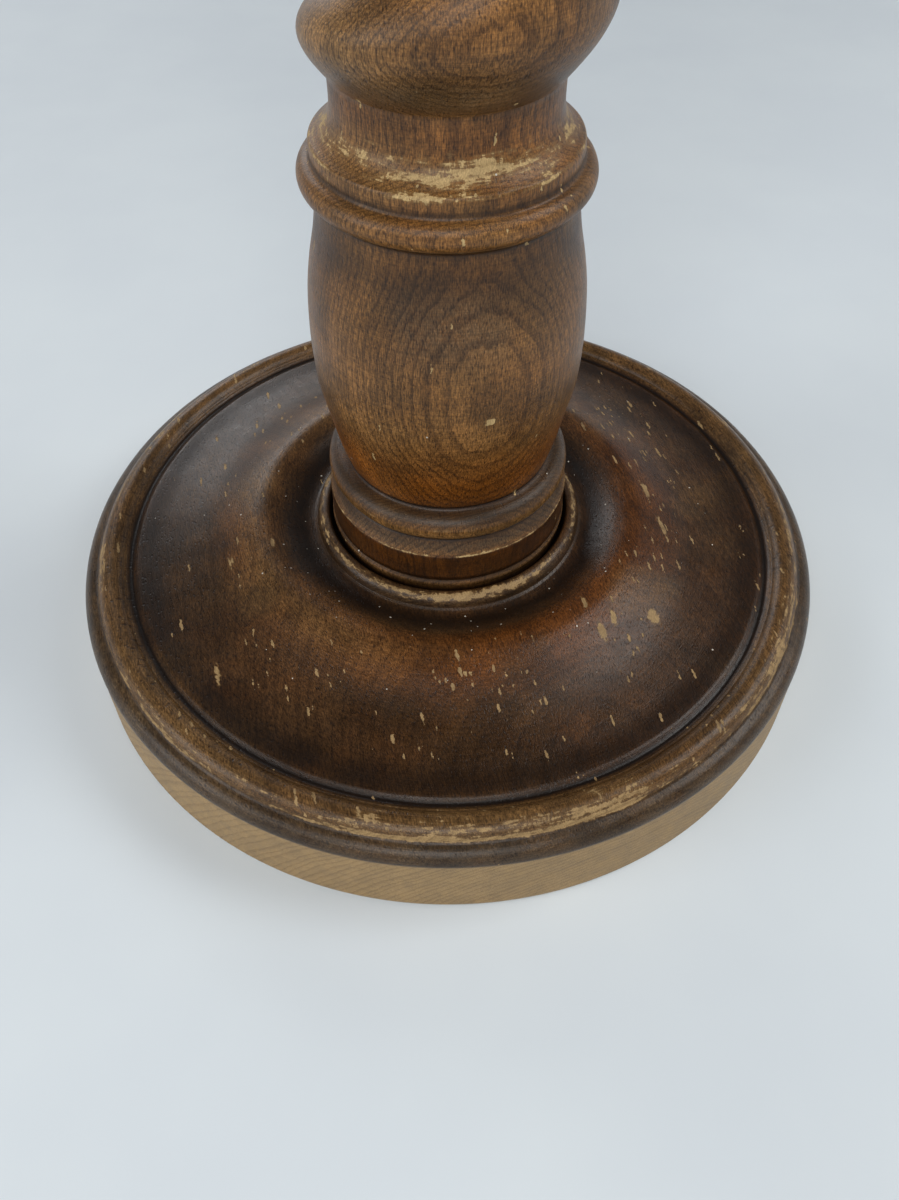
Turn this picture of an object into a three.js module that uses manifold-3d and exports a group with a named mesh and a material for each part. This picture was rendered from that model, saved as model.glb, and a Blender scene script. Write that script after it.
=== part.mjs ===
// Tilt-top occasional table: a round top on a barley-twist pedestal with a turned base.
// Millimetres, +Z up, origin at the centre of the base's underside. The top's hinge runs along X,
// near the front (-Y) edge of the block on the column, and its catch is at the back (+Y).
import * as THREE from 'three';
import { mergeVertices } from 'three/addons/utils/BufferGeometryUtils.js';
import Module from 'manifold-3d';

const wasm = await Module();
wasm.setup();

// ---- driving dimensions ----
const TABLE_HEIGHT = 600;
const GLUE_GAP = 0.1;
const FIT_GAP = 0.3;

const BASE_RADIUS = 127;
const BASE_RECESS_RADIUS = 104;
const BASE_RECESS_DEPTH = 4;
const SOCKET_RADIUS = 39.6;
const SOCKET_FLOOR_Z = 37;

const TENON_RADIUS = 19;
const MORTISE_RADIUS = TENON_RADIUS + FIT_GAP;
const SHAFT_SEGMENTS = 24;
const BASE_SEGMENTS = 48;
const TOP_SEGMENTS = 56;

const LOWER_NECK_Z = 182.5;
const UPPER_NECK_Z = 473.5;
const NECK_RADIUS = 27.9;
const TWIST_RADIUS = 37.7;
const TWIST_PITCH = 80;
const TWIST_GROOVE_DEPTH = 20;
const TWIST_GROOVE_SHARPNESS = 2.2;
const TWIST_FLARE = 17.5;
const TWIST_FADE = 27;
const TWIST_START_ANGLE = Math.PI * 1.375;
const TWIST_ROWS = 50;

const TOP_RADIUS = 210;
const TOP_THICKNESS = 18;
const BOARD_JOINT_Y = 70;
const TOP_UNDERSIDE_Z = TABLE_HEIGHT - TOP_THICKNESS;

const BLOCK_HALF = 50;
const BLOCK_HEIGHT = 38;
const BLOCK_TOP_Z = TOP_UNDERSIDE_Z - FIT_GAP;
const BLOCK_BOTTOM_Z = BLOCK_TOP_Z - BLOCK_HEIGHT;
const BLOCK_NOSE_RADIUS = BLOCK_HEIGHT / 2;
const PIVOT_Y = -BLOCK_HALF + BLOCK_NOSE_RADIUS;
const PIVOT_Z = BLOCK_TOP_Z - BLOCK_NOSE_RADIUS;
const PIN_RADIUS = 7;
const PIN_INNER_X = 29;
const TENON_BOTTOM_Z = BASE_RECESS_DEPTH + FIT_GAP;
const TENON_TOP_Z = BLOCK_TOP_Z - 0.5;

const BEARER_INNER_X = BLOCK_HALF + 0.6;
const BEARER_WIDTH = 22;
const BEARER_DEPTH = 34;
const BEARER_END_DEPTH = 14;
const BEARER_HALF_LENGTH = 165;
const BEARER_TAPER_Y = 70;

const CATCH_FRONT_Y = BLOCK_HALF + 3;
const CATCH_LENGTH = 26.2;
const CATCH_WALL = 1.6;
const CATCH_HALF_WIDTH = 8;
const CATCH_BOTTOM_Z = 570.9;
const CATCH_PLATE_THICKNESS = 1.6;
const BOLT_TIP_Y = BLOCK_HALF + 2.2;
const BOLT_BOTTOM_Z = 573.6;
const BOLT_TOP_Z = 579.2;
const BOLT_TRAVEL = 4.5;

// ---- finishes ----
const finish = (color, roughness, metalness = 0) =>
  new THREE.MeshStandardMaterial({ color, roughness, metalness });
const STAINED_BEECH = finish(0x644a30, 0.45);
const DARK_STAINED_BEECH = finish(0x44301b, 0.4);
const BARE_BEECH = finish(0xb08a5e, 0.7);
const BRASS = finish(0xa8843f, 0.35, 1);
const STEEL = finish(0x6a6a68, 0.4, 1);

// ---- outline helpers: points are (radius, height) or (y, z) ----
const point = (x, y) => new THREE.Vector2(x, y);
const outline = (...parts) => parts.flat();
const curve = (steps, ...points) => new THREE.SplineCurve(points).getPoints(steps);

function arc(centreX, centreY, radius, fromDegrees, toDegrees, steps) {
  const points = [];
  for (let i = 0; i <= steps; i += 1) {
    const angle = THREE.MathUtils.degToRad(fromDegrees + (toDegrees - fromDegrees) * (i / steps));
    points.push(point(centreX + radius * Math.cos(angle), centreY + radius * Math.sin(angle)));
  }
  return points;
}

// ---- solid helpers ----
const turned = (profile, segments) => new THREE.LatheGeometry(profile, segments).rotateX(Math.PI / 2);

function box(low, high) {
  const size = high.map((value, axis) => value - low[axis]);
  const centre = high.map((value, axis) => (value + low[axis]) / 2);
  return new THREE.BoxGeometry(...size).translate(...centre);
}

function rod(radius, from, to, axis, centre, segments = 16) {
  const geometry = new THREE.CylinderGeometry(radius, radius, to - from, segments);
  geometry.translate(0, (from + to) / 2, 0);
  if (axis === 'x') geometry.rotateZ(-Math.PI / 2);
  if (axis === 'z') geometry.rotateX(Math.PI / 2);
  return geometry.translate(...centre);
}

// A (y, z) outline with a thickness along x.
function slab(points, fromX, toX) {
  const geometry = new THREE.ExtrudeGeometry(new THREE.Shape(points), {
    depth: toX - fromX,
    bevelEnabled: false,
  });
  geometry.applyMatrix4(new THREE.Matrix4().set(0, 0, 1, fromX, 1, 0, 0, 0, 0, 1, 0, 0, 0, 0, 0, 1));
  return geometry;
}

function toSolid(geometry) {
  const bare = geometry.clone();
  bare.deleteAttribute('normal');
  bare.deleteAttribute('uv');
  const merged = mergeVertices(bare, 1e-4);
  const mesh = new wasm.Mesh({
    numProp: 3,
    vertProperties: merged.attributes.position.array,
    triVerts: Uint32Array.from(merged.index.array),
  });
  return new wasm.Manifold(mesh);
}

function toGeometry(solid) {
  const mesh = solid.getMesh();
  const geometry = new THREE.BufferGeometry();
  geometry.setAttribute('position', new THREE.BufferAttribute(mesh.vertProperties, 3));
  geometry.setIndex(new THREE.BufferAttribute(mesh.triVerts, 1));
  return geometry;
}

function cut(geometry, ...tools) {
  return toGeometry(tools.reduce((solid, tool) => solid.subtract(toSolid(tool)), toSolid(geometry)));
}

function join(geometry, ...others) {
  return toGeometry(others.reduce((solid, other) => solid.add(toSolid(other)), toSolid(geometry)));
}

const common = (first, second) => toGeometry(toSolid(first).intersect(toSolid(second)));

const table = new THREE.Group();

function add(parent, name, geometry, material, position = [0, 0, 0]) {
  const mesh = new THREE.Mesh(geometry, material);
  mesh.name = name;
  mesh.position.set(...position);
  parent.add(mesh);
  return mesh;
}

// ---- turned base ----
function baseProfile() {
  return outline(
    point(MORTISE_RADIUS, BASE_RECESS_DEPTH),
    point(BASE_RECESS_RADIUS, BASE_RECESS_DEPTH),
    point(BASE_RECESS_RADIUS + 2, 0),
    point(BASE_RADIUS - 0.8, 0),
    point(BASE_RADIUS, 0.8),
    point(BASE_RADIUS - 1, 24.5),
    arc(121.2, 24.6, 5, 10, 80, 3),
    arc(116.2, 28.6, 4.8, 20, 150, 5),
    point(110.6, 30.6),
    point(109.7, 30.2),
    curve(6, point(108.6, 31.2), point(98, 31.6), point(84, 34.4), point(70, 40.6), point(63.5, 42.2)),
    curve(4, point(58, 41), point(53, 38.8), point(49.5, 37.8), point(46.5, 37.8)),
    arc(41.4, 38.4, 3.5, 0, 90, 3),
    point(40.3, 41),
    point(SOCKET_RADIUS, 38.8),
    point(SOCKET_RADIUS, SOCKET_FLOOR_Z),
    point(MORTISE_RADIUS, SOCKET_FLOOR_Z),
    point(MORTISE_RADIUS, BASE_RECESS_DEPTH),
  );
}

// ---- column ----
const WEDGE_DEPTH = 20;
const WEDGE_THICK = 4;
const WEDGE_THIN = 1.5;

// A tapered wedge: thick end at thickZ, pointing to thinZ, long along x.
function wedge(thickZ, thinZ, grow, halfLength) {
  const thick = WEDGE_THICK / 2 + grow;
  const thin = WEDGE_THIN / 2 + grow;
  const corners = [point(-thick, thickZ), point(thick, thickZ), point(thin, thinZ), point(-thin, thinZ)];
  if (thickZ > thinZ) corners.reverse();
  return slab(corners, -halfLength, halfLength);
}

// Radius of the rounded blank that the twist is cut from.
function blankRadius(z) {
  const fromEnd = Math.min(z - LOWER_NECK_Z, UPPER_NECK_Z - z) / TWIST_FLARE;
  const share = Math.sin((THREE.MathUtils.clamp(fromEnd, 0, 1) * Math.PI) / 2);
  return NECK_RADIUS + (TWIST_RADIUS - NECK_RADIUS) * share;
}

// How far the spiral groove reaches in at this angle and height.
function grooveDepth(angle, z) {
  const fromEnd = Math.min(z - LOWER_NECK_Z, UPPER_NECK_Z - z) / TWIST_FADE;
  const fade = THREE.MathUtils.smoothstep(fromEnd, 0, 1);
  const phase = angle - TWIST_START_ANGLE - ((z - LOWER_NECK_Z) / TWIST_PITCH) * 2 * Math.PI;
  return TWIST_GROOVE_DEPTH * fade * ((1 - Math.cos(phase)) / 2) ** TWIST_GROOVE_SHARPNESS;
}

function columnProfile() {
  const foot = SOCKET_FLOOR_Z + FIT_GAP;
  const shoulder = BLOCK_BOTTOM_Z - FIT_GAP;
  const twist = [];
  for (let i = 1; i < TWIST_ROWS; i += 1) {
    const z = LOWER_NECK_Z + ((UPPER_NECK_Z - LOWER_NECK_Z) * i) / TWIST_ROWS;
    twist.push(point(blankRadius(z), z));
  }
  return outline(
    point(0, TENON_BOTTOM_Z),
    point(TENON_RADIUS, TENON_BOTTOM_Z),
    point(TENON_RADIUS, foot),
    point(39.2, foot),
    point(39.2, 43.6),
    point(38.5, 44.3),
    point(39, 44.9),
    point(39, 55.3),
    point(36.3, 60),
    arc(33.7, 64.9, 4.7, -50, 75, 4),
    point(32.6, 70.4),
    curve(7, point(33, 71.5), point(36.7, 89), point(39.15, 109), point(38.4, 127), point(35.1, 144),
      point(34, 153)),
    arc(33.9, 159, 3.74, -70, 75, 4),
    point(34, 163.4),
    point(33.8, 167.3),
    curve(3, point(33, 168.1), point(29.6, 171), point(28, 174.5), point(NECK_RADIUS, LOWER_NECK_Z)),
    twist,
    curve(3, point(NECK_RADIUS, UPPER_NECK_Z), point(28, 481.5), point(29.6, 485), point(33, 487.9)),
    point(33.8, 488.7),
    point(34, 492.6),
    arc(33.9, 497, 3.74, -75, 70, 4),
    curve(5, point(34, 503), point(36.4, 512), point(36.6, 521), point(33.4, 531), point(31, 535)),
    arc(33.2, 539.2, 3.9, -70, 60, 3),
    point(33, shoulder),
    point(TENON_RADIUS, shoulder),
    point(TENON_RADIUS, TENON_TOP_Z),
    point(0, TENON_TOP_Z),
  );
}

function columnGeometry() {
  const geometry = turned(columnProfile(), SHAFT_SEGMENTS);
  const places = geometry.attributes.position;
  for (let i = 0; i < places.count; i += 1) {
    const x = places.getX(i);
    const y = places.getY(i);
    const z = places.getZ(i);
    if (z > LOWER_NECK_Z && z < UPPER_NECK_Z) {
      const radius = Math.hypot(x, y);
      const shrink = (radius - grooveDepth(Math.atan2(y, x), z)) / radius;
      places.setXY(i, x * shrink, y * shrink);
    }
  }
  const reach = TENON_RADIUS + 1;
  return cut(
    geometry,
    wedge(TENON_BOTTOM_Z - 0.01, TENON_BOTTOM_Z + WEDGE_DEPTH + 1, FIT_GAP, reach),
    wedge(TENON_TOP_Z + 0.01, TENON_TOP_Z - WEDGE_DEPTH - 1, FIT_GAP, reach),
  );
}

function addStand() {
  const stand = new THREE.Group();
  add(stand, 'base_disc', turned(baseProfile(), BASE_SEGMENTS), DARK_STAINED_BEECH);
  add(stand, 'column', columnGeometry(), STAINED_BEECH);
  const reach = TENON_RADIUS - 0.6;
  const bottomWedge = wedge(TENON_BOTTOM_Z, TENON_BOTTOM_Z + WEDGE_DEPTH, 0, reach);
  const topWedge = wedge(TENON_TOP_Z, TENON_TOP_Z - WEDGE_DEPTH, 0, reach);
  add(stand, 'column_bottom_wedge', bottomWedge, BARE_BEECH);
  add(stand, 'column_top_wedge', topWedge, BARE_BEECH);
  return stand;
}

// ---- pivot block, pins and strike ----
const STRIKE = { half: 9, bottom: 563.5, top: 581.2, thick: 1.5 };
const STRIKE_SCREW = { x: 5, z: 567.6, head: 2.1, shank: 1.1, length: 11 };
const SLOT_HALF = 3.7;
const SLOT_BOTTOM_Z = BOLT_BOTTOM_Z - 0.4;
const SLOT_TOP_Z = BOLT_TOP_Z + 0.4;

// A screw along +z with its head's outer face at z = 0 and its point down at -length.
function screw(headRadius, shankRadius, headHeight, length, headTop = 0) {
  const profile = outline(
    point(0, -length),
    point(shankRadius * 0.5, -length + shankRadius),
    point(shankRadius, -length + shankRadius * 2.4),
    point(shankRadius, -headHeight),
    point(headRadius, -headTop),
    point(headRadius, 0),
    point(0, 0),
  );
  const slotHalf = headRadius * 0.16;
  const slot = box([-headRadius * 1.2, -slotHalf, -headHeight * 0.45], [headRadius * 1.2, slotHalf, 1]);
  return cut(turned(profile, 12), slot);
}

function blockGeometry() {
  const chamfer = 2.5;
  const side = outline(
    point(-BLOCK_HALF, BLOCK_BOTTOM_Z + chamfer),
    point(-BLOCK_HALF + chamfer, BLOCK_BOTTOM_Z),
    point(BLOCK_HALF - chamfer, BLOCK_BOTTOM_Z),
    point(BLOCK_HALF, BLOCK_BOTTOM_Z + chamfer),
    point(BLOCK_HALF, BLOCK_TOP_Z),
    arc(PIVOT_Y, PIVOT_Z, BLOCK_NOSE_RADIUS, 90, 180, 8),
  );
  const pinHoles = [-1, 1].map((sign) => {
    const ends = [sign * (PIN_INNER_X - 0.5), sign * (BLOCK_HALF + 1)].sort((a, b) => a - b);
    return rod(PIN_RADIUS + FIT_GAP, ends[0], ends[1], 'x', [0, PIVOT_Y, PIVOT_Z], 20);
  });
  const recess = box(
    [-STRIKE.half - FIT_GAP, BLOCK_HALF - STRIKE.thick - FIT_GAP, STRIKE.bottom - FIT_GAP],
    [STRIKE.half + FIT_GAP, BLOCK_HALF + 1, BLOCK_TOP_Z + 1],
  );
  const mortise = box([-SLOT_HALF, 44, SLOT_BOTTOM_Z], [SLOT_HALF, BLOCK_HALF, SLOT_TOP_Z]);
  const pilots = [-1, 1].map((sign) =>
    rod(STRIKE_SCREW.shank + 0.3, 38, BLOCK_HALF, 'y', [sign * STRIKE_SCREW.x, 0, STRIKE_SCREW.z], 10));
  const bore = rod(MORTISE_RADIUS, BLOCK_BOTTOM_Z - 1, BLOCK_TOP_Z + 1, 'z', [0, 0, 0], SHAFT_SEGMENTS);
  return cut(slab(side, -BLOCK_HALF, BLOCK_HALF), bore, ...pinHoles, recess, mortise, ...pilots);
}

function strikeGeometry() {
  const front = BLOCK_HALF - STRIKE.thick;
  const plate = box([-STRIKE.half, front, STRIKE.bottom], [STRIKE.half, BLOCK_HALF, STRIKE.top]);
  const slot = box([-SLOT_HALF, front - 1, SLOT_BOTTOM_Z], [SLOT_HALF, BLOCK_HALF + 1, SLOT_TOP_Z]);
  const sinks = [-1, 1].map((sign) => {
    const sink = new THREE.CylinderGeometry(STRIKE_SCREW.head + 0.5, STRIKE_SCREW.shank + 0.1, 2.4, 12);
    return sink.translate(sign * STRIKE_SCREW.x, BLOCK_HALF - 1.1, STRIKE_SCREW.z);
  });
  return cut(plate, slot, ...sinks);
}

function addBlock() {
  const head = new THREE.Group();
  add(head, 'pivot_block', blockGeometry(), STAINED_BEECH);
  const pinLength = BEARER_INNER_X + BEARER_WIDTH - 0.4 - PIN_INNER_X;
  const pinEnd = 1;
  const pinProfile = [
    point(0, 0),
    point(PIN_RADIUS - pinEnd, 0),
    point(PIN_RADIUS, pinEnd),
    point(PIN_RADIUS, pinLength - pinEnd),
    point(PIN_RADIUS - pinEnd, pinLength),
    point(0, pinLength),
  ];
  [['left', -1], ['right', 1]].forEach(([side, sign]) => {
    const pin = turned(pinProfile, 20).rotateY((sign * Math.PI) / 2);
    add(head, `pivot_pin_${side}`, pin, BARE_BEECH, [sign * PIN_INNER_X, PIVOT_Y, PIVOT_Z]);
  });
  add(head, 'strike_plate', strikeGeometry(), BRASS);
  [-1, 1].forEach((sign, index) => {
    const geometry = screw(STRIKE_SCREW.head, STRIKE_SCREW.shank, 1.4, STRIKE_SCREW.length, 0.1);
    geometry.rotateX(-Math.PI / 2);
    add(head, `strike_screw_${index + 1}`, geometry, BRASS,
      [sign * STRIKE_SCREW.x, BLOCK_HALF, STRIKE_SCREW.z]);
  });
  return head;
}

// ---- round top, bearers and their screws ----
const DOWEL = { radius: 4, half: 20, x: 95, z: TOP_UNDERSIDE_Z + TOP_THICKNESS / 2 };
const BEARER_SCREW = { head: 4, shank: 2, headHeight: 3, length: 28, tipZ: TOP_UNDERSIDE_Z + 11 };
const BEARER_SCREW_YS = [-115, 20, 115];
const BEARER_CENTRE_X = BEARER_INNER_X + BEARER_WIDTH / 2;
const CATCH_SCREW = { head: 2.6, shank: 1.2, headHeight: 1.4, length: 11 };
const CATCH_SCREW_PLACES = [[-14.5, 59], [14.5, 59], [-14.5, 79], [14.5, 79]];
const CATCH_PLATE_BOTTOM_Z = TOP_UNDERSIDE_Z - FIT_GAP - CATCH_PLATE_THICKNESS;

function topProfile() {
  const z = TOP_UNDERSIDE_Z;
  return outline(
    point(0, z),
    point(204, z),
    arc(204, z + 6, TOP_RADIUS - 204, -60, 0, 2),
    point(TOP_RADIUS, z + 10),
    arc(206.2, z + 11.4, 2.9, 0, 80, 2),
    arc(201.6, z + 13.8, 4.2, 20, 150, 4),
    point(197, z + 15.6),
    point(195.6, z + TOP_THICKNESS),
    point(0, z + TOP_THICKNESS),
  );
}

function boardTools() {
  const tools = [];
  for (const jointY of [-BOARD_JOINT_Y, BOARD_JOINT_Y]) {
    for (const sign of [-1, 1]) {
      const reach = DOWEL.half + 0.5;
      const centre = [sign * DOWEL.x, 0, DOWEL.z];
      tools.push(rod(DOWEL.radius + FIT_GAP, jointY - reach, jointY + reach, 'y', centre, 10));
    }
  }
  for (const x of [-BEARER_CENTRE_X, BEARER_CENTRE_X]) {
    for (const y of BEARER_SCREW_YS) {
      const top = BEARER_SCREW.tipZ + 0.5;
      tools.push(rod(BEARER_SCREW.shank + FIT_GAP, TOP_UNDERSIDE_Z - 1, top, 'z', [x, y, 0], 10));
    }
  }
  const tip = CATCH_PLATE_BOTTOM_Z + CATCH_SCREW.length;
  for (const [x, y] of CATCH_SCREW_PLACES) {
    tools.push(rod(CATCH_SCREW.shank + FIT_GAP, TOP_UNDERSIDE_Z - 1, tip, 'z', [x, y, 0], 10));
  }
  return tools;
}

function addBoards(parent) {
  const disc = cut(turned(topProfile(), TOP_SEGMENTS), ...boardTools());
  const edge = TOP_RADIUS + 1;
  const low = TOP_UNDERSIDE_Z - 1;
  const high = TABLE_HEIGHT + 1;
  const half = GLUE_GAP / 2;
  const strips = [
    ['front', -edge, -BOARD_JOINT_Y - half],
    ['middle', -BOARD_JOINT_Y + half, BOARD_JOINT_Y - half],
    ['back', BOARD_JOINT_Y + half, edge],
  ];
  for (const [name, from, to] of strips) {
    const strip = box([-edge, from, low], [edge, to, high]);
    add(parent, `top_board_${name}`, common(disc, strip), STAINED_BEECH);
  }
}

function addDowels(parent) {
  let count = 0;
  for (const jointY of [-BOARD_JOINT_Y, BOARD_JOINT_Y]) {
    for (const sign of [-1, 1]) {
      count += 1;
      const dowel = rod(DOWEL.radius, -DOWEL.half, DOWEL.half, 'y', [0, 0, 0], 10);
      add(parent, `top_dowel_${count}`, dowel, BARE_BEECH, [sign * DOWEL.x, jointY, DOWEL.z]);
    }
  }
}

function bearerGeometry(sign) {
  const top = TOP_UNDERSIDE_Z - FIT_GAP;
  const bottom = TOP_UNDERSIDE_Z - BEARER_DEPTH;
  const end = TOP_UNDERSIDE_Z - BEARER_END_DEPTH;
  const side = [
    point(-BEARER_TAPER_Y, bottom),
    point(BEARER_TAPER_Y, bottom),
    point(BEARER_HALF_LENGTH - 4, end),
    point(BEARER_HALF_LENGTH, end + 4),
    point(BEARER_HALF_LENGTH, top),
    point(-BEARER_HALF_LENGTH, top),
    point(-BEARER_HALF_LENGTH, end + 4),
    point(-BEARER_HALF_LENGTH + 4, end),
  ];
  const inner = sign * BEARER_INNER_X;
  const outer = sign * (BEARER_INNER_X + BEARER_WIDTH);
  const bar = slab(side, Math.min(inner, outer), Math.max(inner, outer));
  const holes = [rod(PIN_RADIUS + FIT_GAP, -30, 30, 'x', [sign * BEARER_CENTRE_X, PIVOT_Y, PIVOT_Z], 20)];
  const headZ = BEARER_SCREW.tipZ - BEARER_SCREW.length;
  const sinkTop = headZ + BEARER_SCREW.headHeight + FIT_GAP;
  for (const y of BEARER_SCREW_YS) {
    const centre = [sign * BEARER_CENTRE_X, y, 0];
    holes.push(rod(BEARER_SCREW.shank + FIT_GAP, headZ, top + 1, 'z', centre, 10));
    holes.push(rod(BEARER_SCREW.head + 1, bottom - 1, sinkTop, 'z', centre, 12));
  }
  return cut(bar, ...holes);
}

function addBearers(parent) {
  const { head, shank, headHeight, length, tipZ } = BEARER_SCREW;
  let count = 0;
  for (const [side, sign] of [['left', -1], ['right', 1]]) {
    add(parent, `bearer_${side}`, bearerGeometry(sign), STAINED_BEECH);
    for (const y of BEARER_SCREW_YS) {
      count += 1;
      const geometry = screw(head, shank, headHeight, length).rotateX(Math.PI);
      const place = [sign * BEARER_CENTRE_X, y, tipZ - length];
      add(parent, `bearer_screw_${count}`, geometry, STEEL, place);
    }
  }
}

// ---- brass snap catch ----
const SHOULDER = { front: BOLT_TIP_Y + 7.4, back: BOLT_TIP_Y + 13, half: 5.4, low: 572.9, high: 579.6 };
const BOLT_HALF = 3.2;
const BOLT_AXIS_Z = 576.3;
const TAIL = { radius: 1.6, length: 8 };
const KNOB_STEM_RADIUS = 1.6;
const KNOB_Y = (SHOULDER.front + SHOULDER.back) / 2;
const SPRING = { radius: 2.5, wire: 0.45, turns: 5.5 };

function caseGeometry() {
  const back = CATCH_FRONT_Y + CATCH_LENGTH;
  const plateTop = CATCH_PLATE_BOTTOM_Z + CATCH_PLATE_THICKNESS;
  const plate = box([-20, CATCH_FRONT_Y, CATCH_PLATE_BOTTOM_Z], [20, back + 6, plateTop]);
  const shell = box(
    [-CATCH_HALF_WIDTH, CATCH_FRONT_Y, CATCH_BOTTOM_Z],
    [CATCH_HALF_WIDTH, back, CATCH_PLATE_BOTTOM_Z + 0.5],
  );
  const hollow = box(
    [-CATCH_HALF_WIDTH + CATCH_WALL, CATCH_FRONT_Y + CATCH_WALL, CATCH_BOTTOM_Z + CATCH_WALL],
    [CATCH_HALF_WIDTH - CATCH_WALL, back - CATCH_WALL, CATCH_PLATE_BOTTOM_Z],
  );
  const nose = box(
    [-BOLT_HALF - 0.4, CATCH_FRONT_Y - 1, BOLT_BOTTOM_Z - 0.3],
    [BOLT_HALF + 0.4, CATCH_FRONT_Y + CATCH_WALL + 1, BOLT_TOP_Z + 0.3],
  );
  const slotReach = KNOB_STEM_RADIUS + 0.6;
  const knobSlot = box(
    [-slotReach, KNOB_Y - BOLT_TRAVEL - slotReach, CATCH_BOTTOM_Z - 1],
    [slotReach, KNOB_Y + slotReach, CATCH_BOTTOM_Z + CATCH_WALL + 1],
  );
  const screwHoles = CATCH_SCREW_PLACES.map(([x, y]) =>
    rod(CATCH_SCREW.shank + FIT_GAP, CATCH_PLATE_BOTTOM_Z - 1, plateTop + 1, 'z', [x, y, 0], 10));
  return cut(join(plate, shell), hollow, nose, knobSlot, ...screwHoles);
}

function boltGeometry() {
  const side = [
    point(BOLT_TIP_Y + 2.4, BOLT_BOTTOM_Z),
    point(SHOULDER.front + 1, BOLT_BOTTOM_Z),
    point(SHOULDER.front + 1, BOLT_TOP_Z),
    point(BOLT_TIP_Y, BOLT_TOP_Z),
    point(BOLT_TIP_Y, BOLT_TOP_Z - 2.4),
  ];
  const nose = slab(side, -BOLT_HALF, BOLT_HALF);
  const shoulder = box(
    [-SHOULDER.half, SHOULDER.front, SHOULDER.low],
    [SHOULDER.half, SHOULDER.back, SHOULDER.high],
  );
  const tailEnd = SHOULDER.back + TAIL.length;
  const tail = rod(TAIL.radius, SHOULDER.back - 1, tailEnd, 'y', [0, 0, BOLT_AXIS_Z], 12);
  const stemHole = rod(KNOB_STEM_RADIUS + FIT_GAP, SHOULDER.low - 1, BOLT_AXIS_Z, 'z', [0, KNOB_Y, 0], 12);
  return cut(join(nose, shoulder, tail), stemHole);
}

function knobGeometry() {
  const stemTop = BOLT_AXIS_Z - 0.4;
  const neck = CATCH_BOTTOM_Z - 1.2;
  const profile = outline(
    point(0, neck - 6.4),
    point(2.4, neck - 6.2),
    arc(2.2, neck - 3.6, 2.5, -60, 70, 5),
    point(2.1, neck - 0.6),
    point(KNOB_STEM_RADIUS, neck),
    point(KNOB_STEM_RADIUS, stemTop),
    point(0, stemTop),
  );
  return turned(profile, 14);
}

// A round wire wound into a compression spring along y.
function springGeometry() {
  const start = SHOULDER.back + 0.3 + SPRING.wire;
  const end = CATCH_FRONT_Y + CATCH_LENGTH - CATCH_WALL - 0.3 - SPRING.wire;
  class Coil extends THREE.Curve {
    getPoint(share, target = new THREE.Vector3()) {
      const angle = share * SPRING.turns * 2 * Math.PI;
      const y = start + (end - start) * share;
      return target.set(SPRING.radius * Math.cos(angle), y, BOLT_AXIS_Z + SPRING.radius * Math.sin(angle));
    }
  }
  const wire = new THREE.Shape().absarc(0, 0, SPRING.wire, 0, Math.PI * 2);
  return new THREE.ExtrudeGeometry(wire, {
    steps: 44,
    curveSegments: 3,
    bevelEnabled: false,
    extrudePath: new Coil(),
  });
}

function addCatch(parent) {
  add(parent, 'catch_case', caseGeometry(), BRASS);
  add(parent, 'catch_bolt', boltGeometry(), BRASS);
  add(parent, 'catch_knob', knobGeometry(), BRASS, [0, KNOB_Y, 0]);
  add(parent, 'catch_spring', springGeometry(), STEEL);
  const { head, shank, headHeight, length } = CATCH_SCREW;
  CATCH_SCREW_PLACES.forEach(([x, y], index) => {
    const geometry = screw(head, shank, headHeight, length, 0.5).rotateX(Math.PI);
    const place = [x, y, CATCH_PLATE_BOTTOM_Z - headHeight - 0.1];
    add(parent, `catch_screw_${index + 1}`, geometry, BRASS, place);
  });
}

function addTop() {
  const top = new THREE.Group();
  addBoards(top);
  addDowels(top);
  addBearers(top);
  addCatch(top);
  return top;
}

table.add(addStand(), addBlock(), addTop());

export default table;
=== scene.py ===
"""The looks of the tilt-top table: turned and joined pieces with procedural materials, around the CAD."""
import math

import bmesh
import bpy
import numpy as np
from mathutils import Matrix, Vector


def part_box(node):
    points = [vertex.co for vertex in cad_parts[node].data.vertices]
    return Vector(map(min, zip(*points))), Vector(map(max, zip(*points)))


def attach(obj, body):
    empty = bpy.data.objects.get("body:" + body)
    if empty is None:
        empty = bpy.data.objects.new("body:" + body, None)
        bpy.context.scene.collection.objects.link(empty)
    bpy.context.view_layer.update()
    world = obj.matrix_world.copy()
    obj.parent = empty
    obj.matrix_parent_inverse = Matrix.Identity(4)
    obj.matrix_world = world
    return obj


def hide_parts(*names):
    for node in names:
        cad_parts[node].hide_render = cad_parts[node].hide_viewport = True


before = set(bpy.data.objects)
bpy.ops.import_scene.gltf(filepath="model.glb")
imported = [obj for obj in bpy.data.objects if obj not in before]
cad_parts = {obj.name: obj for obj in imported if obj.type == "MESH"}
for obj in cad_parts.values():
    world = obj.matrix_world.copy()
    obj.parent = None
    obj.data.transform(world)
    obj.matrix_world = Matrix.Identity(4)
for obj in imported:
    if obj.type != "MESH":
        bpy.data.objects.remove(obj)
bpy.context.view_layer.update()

MM = 0.001
UP = Vector((0, 0, 1))

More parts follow.
